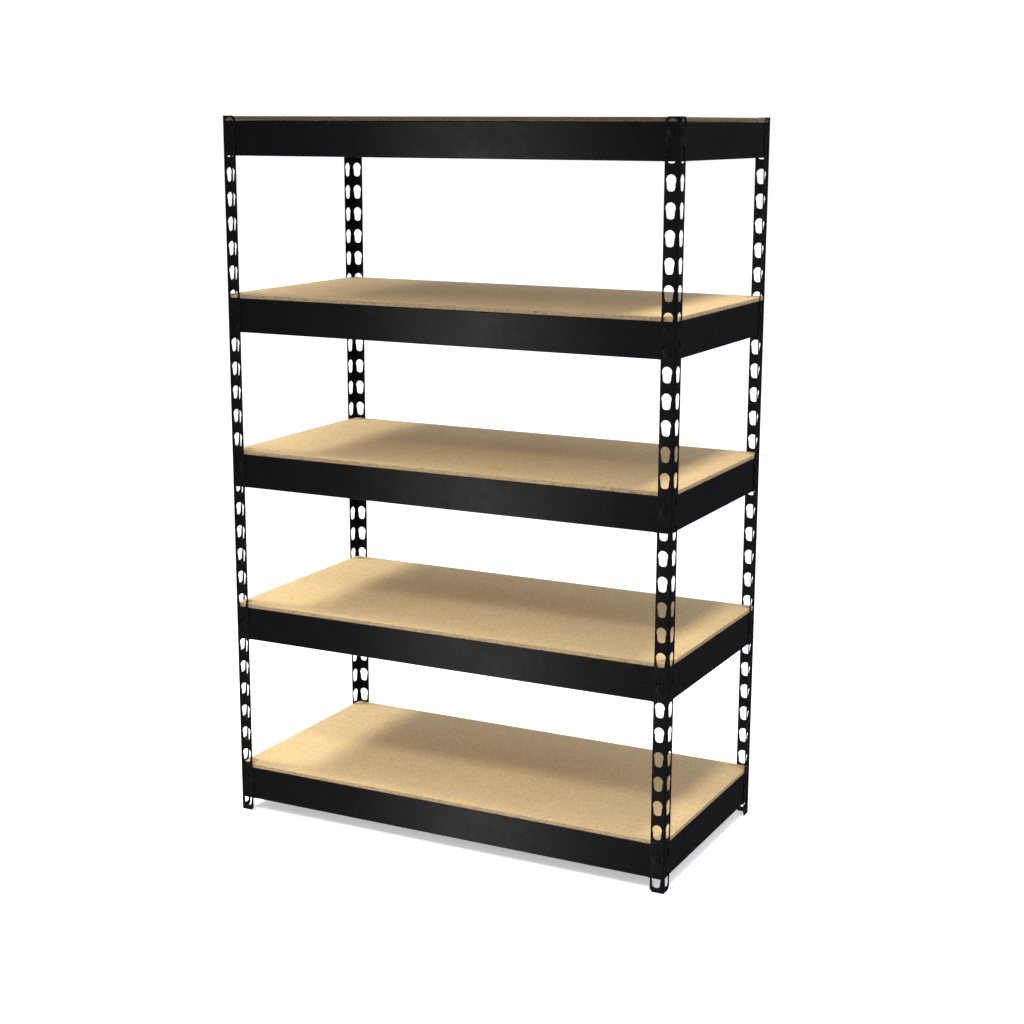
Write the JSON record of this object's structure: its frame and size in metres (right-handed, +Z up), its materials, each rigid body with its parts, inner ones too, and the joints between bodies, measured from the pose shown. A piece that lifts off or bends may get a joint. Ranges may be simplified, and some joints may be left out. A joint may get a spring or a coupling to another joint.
{
  "type": "boltless steel shelving",
  "caption": "Open shelving rack: keyholed angle posts, channel beams hung on rivets and loose particle-board decks.",
  "frame": {"origin": "centre of the footprint on the floor, at the bottom of the posts", "axes": "X along the width, the front faces -Y, +Z up"},
  "size_m": [1.223, 0.603, 1.822],
  "materials": {
    "powder_coat": "semi-gloss black powder coat on steel sheet",
    "particle_board": "raw sanded particle board"
  },
  "bodies": {
    "frame": {"post_front_left": "powder_coat", "post_front_right": "powder_coat", "post_rear_left": "powder_coat", "post_rear_right": "powder_coat", "beam_front_1": "powder_coat", "beam_rear_1": "powder_coat", "beam_left_1": "powder_coat", "beam_right_1": "powder_coat", "beam_front_2": "powder_coat", "beam_rear_2": "powder_coat", "beam_left_2": "powder_coat", "beam_right_2": "powder_coat", "beam_front_3": "powder_coat", "beam_rear_3": "powder_coat", "beam_left_3": "powder_coat", "beam_right_3": "powder_coat", "beam_front_4": "powder_coat", "beam_rear_4": "powder_coat", "beam_left_4": "powder_coat", "beam_right_4": "powder_coat", "beam_front_5": "powder_coat", "beam_rear_5": "powder_coat", "beam_left_5": "powder_coat", "beam_right_5": "powder_coat"},
    "deck_1": {"deck_1": "particle_board"},
    "deck_2": {"deck_2": "particle_board"},
    "deck_3": {"deck_3": "particle_board"},
    "deck_4": {"deck_4": "particle_board"},
    "deck_5": {"deck_5": "particle_board"}
  },
  "joints": [
    {"name": "deck_1_lift", "type": "slide", "parent": "frame", "child": "deck_1", "axis": [0, 0, 1], "range_m": [0, 0.15]},
    {"name": "deck_2_lift", "type": "slide", "parent": "frame", "child": "deck_2", "axis": [0, 0, 1], "range_m": [0, 0.34]},
    {"name": "deck_3_lift", "type": "slide", "parent": "frame", "child": "deck_3", "axis": [0, 0, 1], "range_m": [0, 0.3]},
    {"name": "deck_4_lift", "type": "slide", "parent": "frame", "child": "deck_4", "axis": [0, 0, 1], "range_m": [0, 0.31]},
    {"name": "deck_5_lift", "type": "slide", "parent": "frame", "child": "deck_5", "axis": [0, 0, 1], "range_m": [0, 0.34]}
  ]
}
